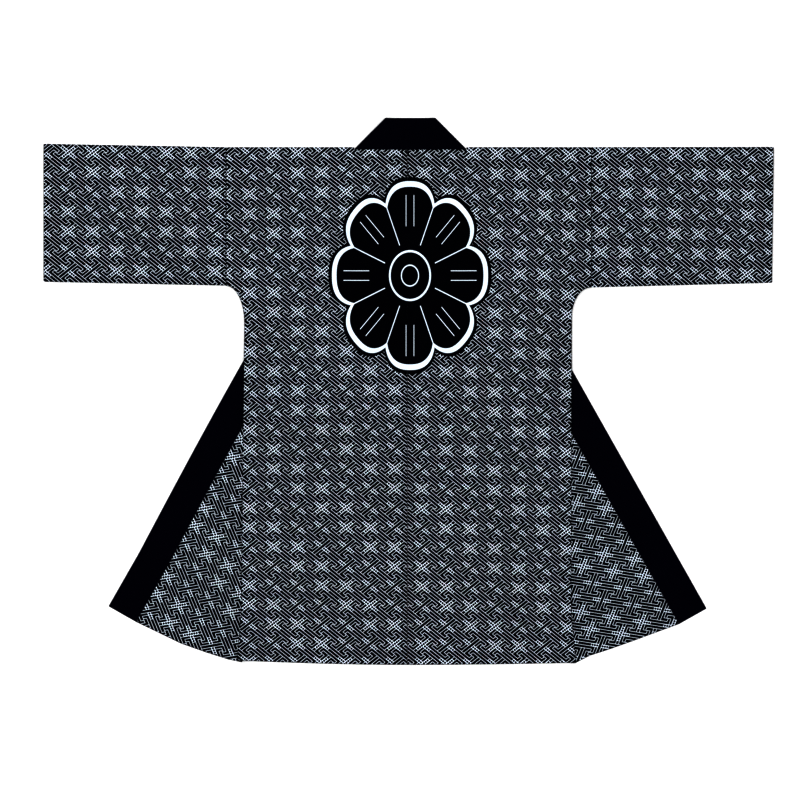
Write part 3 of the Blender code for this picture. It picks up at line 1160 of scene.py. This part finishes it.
def stretched_noise(chart, uv, across, down, detail=2.0):
    """Noise with this many changes per metre across and down the cloth."""
    mapping = chart.node("ShaderNodeMapping")
    chart.link(uv, mapping.inputs["Vector"])
    mapping.inputs["Scale"].default_value = (across, down, 1.0)
    cloud = chart.node("ShaderNodeTexNoise")
    cloud.inputs["Scale"].default_value = 1.0
    cloud.inputs["Detail"].default_value = detail
    chart.link(mapping.outputs[0], cloud.inputs["Vector"])
    return cloud.outputs["Fac"]


def weave(chart, uv):
    """The plain weave, threads over and under each other: its height, and the tone of its thick
    threads with painted shade between the threads.
    """
    _, across, down = chart.map_xy("cloth")
    wave_x = chart.math("SINE", chart.times(across, 2 * math.pi / THREAD))
    wave_y = chart.math("SINE", chart.times(down, 2 * math.pi / THREAD))
    threads = chart.times(wave_x, wave_y)
    slubs_x = stretched_noise(chart, uv, SLUBS_ALONG, SLUBS_ACROSS)
    slubs_y = stretched_noise(chart, uv, SLUBS_ACROSS, SLUBS_ALONG)
    slubs = chart.plus(slubs_x, slubs_y)
    height = chart.plus(chart.times(threads, THREAD_LIFT), slubs)
    # The colour follows the height: the thick threads' own tone, and painted shade between the
    # threads
    return height, chart.plus(slubs, chart.times(threads, THREAD_PAINTED_SHADE))


print("A pair of threads is", THREAD, "m wide")

# %% Cotton
BUMP_STRENGTH = 0.35
BUMP_HEIGHT = 0.0002
SHEEN_ROUGHNESS = 0.5
CLOUDS = 9.0
CLOUD_DETAIL = 3.0
WORN_LIFT = 0.002


def cotton(name, paint, roughness, sheen, specular):
    """A cotton material whose colour is painted by a function."""
    material = bpy.data.materials.new(name)
    material.use_nodes = True
    chart = Chart(material.node_tree)
    shader = material.node_tree.nodes["Principled BSDF"]
    uv, _, _ = chart.map_xy("cloth")
    height, slub_tone_and_thread_shade = weave(chart, uv)
    colour = paint(chart, uv, slub_tone_and_thread_shade)
    chart.link(colour, shader.inputs["Base Color"])
    shader.inputs["Roughness"].default_value = roughness
    shader.inputs["Specular IOR Level"].default_value = specular
    shader.inputs["Sheen Weight"].default_value = sheen
    shader.inputs["Sheen Roughness"].default_value = SHEEN_ROUGHNESS
    bump = chart.node("ShaderNodeBump")
    bump.inputs["Strength"].default_value = BUMP_STRENGTH
    bump.inputs["Distance"].default_value = BUMP_HEIGHT
    chart.link(height, bump.inputs["Height"])
    chart.link(bump.outputs[0], shader.inputs["Normal"])
    return material


def faded_and_thread_shaded(chart, uv, colour, slub_tone_and_thread_shade, amount):
    """A colour with painted shade between the threads, that also varies a little with the thick
    threads and from place to place.
    """
    clouds = stretched_noise(chart, uv, CLOUDS, CLOUDS, CLOUD_DETAIL)
    # Painted shade between the threads, the thick threads' tone and the soft clouds together set
    # the mix
    tone_and_thread_shade = chart.plus(chart.times(slub_tone_and_thread_shade, 0.5), clouds)
    lighter = [min(1.0, part * (1 + amount) + amount * WORN_LIFT) for part in colour[:3]]
    darker = [part * (1 - amount) for part in colour[:3]]
    return chart.mix(chart.times(tone_and_thread_shade, 0.5), (*darker, 1.0), (*lighter, 1.0))


print("The dye clouds over about", CLOUDS, "times in a metre")

# %% The three finishes
INK = (0.0030, 0.0034, 0.0072, 1.0)
PALE = (0.675, 0.737, 0.808, 1.0)
BLACK_DYE = (0.0030, 0.0024, 0.0120, 1.0)
INSIDE_INK = (0.010, 0.010, 0.014, 1.0)
INSIDE_PALE = (0.20, 0.21, 0.24, 1.0)


def printed(chart, uv, slub_tone_and_thread_shade):
    """The print on the outside of the cloth."""
    cover, emblem_pale = emblem(chart)
    around = chart.times(fret_and_seam_shade(chart), chart.minus(1.0, cover))
    pale = chart.plus(around, chart.times(emblem_pale, cover))
    ink = faded_and_thread_shaded(chart, uv, INK, slub_tone_and_thread_shade, amount=0.5)
    white = faded_and_thread_shaded(chart, uv, PALE, slub_tone_and_thread_shade, amount=0.22)
    return chart.mix(pale, ink, white)


def printed_inside(chart, uv, slub_tone_and_thread_shade):
    """The inside of the same cloth, where the print shows through faintly."""
    ink = faded_and_thread_shaded(chart, uv, INSIDE_INK, slub_tone_and_thread_shade, amount=0.3)
    white = faded_and_thread_shaded(chart, uv, INSIDE_PALE, slub_tone_and_thread_shade, amount=0.2)
    return chart.mix(fret_and_seam_shade(chart), ink, white)


def plain_black(chart, uv, slub_tone_and_thread_shade):
    """The black of the neckband."""
    return faded_and_thread_shaded(chart, uv, BLACK_DYE, slub_tone_and_thread_shade, amount=0.5)


PRINTED = cotton("printed_cotton", printed, roughness=0.85, sheen=0.01, specular=0.02)
INSIDE = cotton(
    "printed_cotton_inside", printed_inside, roughness=0.9, sheen=0.01, specular=0.04
)
BLACK = cotton("black_cotton", plain_black, roughness=0.8, sheen=0.01, specular=0.02)

# The first finish is for the outside faces of the cloth, and the second for the inside
for piece in (body_left, body_right, sleeve_left, sleeve_right):
    piece.data.materials.append(PRINTED)
    piece.data.materials.append(INSIDE)
collar.data.materials.append(BLACK)
collar.data.materials.append(BLACK)
print("Materials:", PRINTED.name, INSIDE.name, BLACK.name)

# %% [markdown]
# ## Floor, light and camera
#
# The coat lies on a plain pale floor. A single bare lamp would throw hard
# shadows from every ridge, so three large area lights and a pale sky light it
# softly from all round. The camera looks straight down through a long lens, so
# that the coat shows almost no perspective.

# %% Floor
FLOOR_HALF = 15.0
FLOOR_HEIGHT = -0.0005
FLOOR_GREY = (0.86, 0.86, 0.86, 1.0)

floor_shape = bmesh.new()
bmesh.ops.create_grid(floor_shape, x_segments=1, y_segments=1, size=FLOOR_HALF)
bmesh.ops.translate(floor_shape, verts=floor_shape.verts[:], vec=(0.0, 0.0, FLOOR_HEIGHT))
floor_mesh = bpy.data.meshes.new("floor")
floor_shape.to_mesh(floor_mesh)
floor_shape.free()
floor = bpy.data.objects.new("floor", floor_mesh)
bpy.context.scene.collection.objects.link(floor)
floor_paint = bpy.data.materials.new("pale_floor")
floor_paint.use_nodes = True
floor_shader = floor_paint.node_tree.nodes["Principled BSDF"]
floor_shader.inputs["Base Color"].default_value = FLOOR_GREY
floor_shader.inputs["Roughness"].default_value = 0.9
floor_shader.inputs["Specular IOR Level"].default_value = 0.1
floor_mesh.materials.append(floor_paint)
print("The floor is", 2 * FLOOR_HALF, "m wide")

# %% Light
SKY_COLOUR = (1.0, 1.0, 1.0, 1.0)
SKY_STRENGTH = 0.75
DEEPEN = 0.48

Lamp = namedtuple("Lamp", "name x y z size watts")
LAMPS = (
    Lamp("soft_left", -2.2, 1.6, 3.0, 3.0, 90.0),
    Lamp("soft_right", 2.4, 0.6, 3.4, 3.0, 55.0),
    Lamp("soft_low", 0.2, -2.8, 3.2, 3.0, 45.0),
)
for lamp in LAMPS:
    light = bpy.data.lights.new(lamp.name, "AREA")
    light.size = lamp.size
    light.energy = lamp.watts
    holder = bpy.data.objects.new(lamp.name, light)
    holder.location = (lamp.x, lamp.y, lamp.z)
    holder.rotation_euler = (-holder.location).to_track_quat("-Z", "Y").to_euler()
    bpy.context.scene.collection.objects.link(holder)

world = bpy.data.worlds.new("room")
bpy.context.scene.world = world
world.use_nodes = True
sky = world.node_tree.nodes["Background"]
sky.inputs["Color"].default_value = SKY_COLOUR
sky.inputs["Strength"].default_value = SKY_STRENGTH

# Plain colours, a little deepened, so that the dyed black stays black
view = bpy.context.scene.view_settings
view.view_transform = "Standard"
view.gamma = DEEPEN
print(len(LAMPS), "lamps of", sum(lamp.watts for lamp in LAMPS), "W in all")

# %% Camera
VIEW_MIDDLE = (-0.0154, -0.0153)
VIEW_WIDTH = 1.425
LENS = 150.0
SENSOR = 36.0
FAR_CLIP = 50.0

camera_data = bpy.data.cameras.new("camera")
camera_data.lens = LENS
camera_data.sensor_width = SENSOR
camera = bpy.data.objects.new("camera", camera_data)
camera.location = (*VIEW_MIDDLE, VIEW_WIDTH * LENS / SENSOR)
camera_data.clip_end = FAR_CLIP
bpy.context.scene.collection.objects.link(camera)
bpy.context.scene.camera = camera
print("The camera hangs", round(camera.location.z, 2), "m above the coat")

# %% [markdown]
# ## What each piece stands for
#
# Each shell of cloth takes the place of its solid and rides on the coat's only
# body. The size and area of each body half's cut are worked out from the same
# outline that it was cut to.

# %% Area and size of a cut


def cut_area(outline):
    """Area inside an outline."""
    pairs = zip(outline, outline[1:] + outline[:1])
    return abs(sum(ax * by - bx * ay for (ax, ay), (bx, by) in pairs)) / 2


def cut_size(outline):
    """Width and length of an outline."""
    xs, ys = [x for x, y in outline], [y for x, y in outline]
    return max(xs) - min(xs), max(ys) - min(ys)


print("The left half is cut", cut_size(body_outline(LEFT)), "m")

# %% Pieces and their cut
for piece, side in ((body_left, LEFT), (body_right, RIGHT)):
    outline = body_outline(side)
    node = "body_" + side.name
    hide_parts(node)
    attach(piece, "root")
    cut_size(outline)
    cut_area(outline)

for piece, cut in zip((sleeve_left, sleeve_right), SLEEVES):
    depth = sleeve_depth(cut, ARMHOLE_X)
    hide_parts("sleeve_" + cut.name)
    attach(piece, "root")

band_length = sum(edge_x(side) + COLLAR_STAND + FRONT_LENGTH for side in (LEFT, RIGHT))
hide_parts("collar")
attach(collar, "root")
print("The neckband is", round(band_length, 3), "m long")
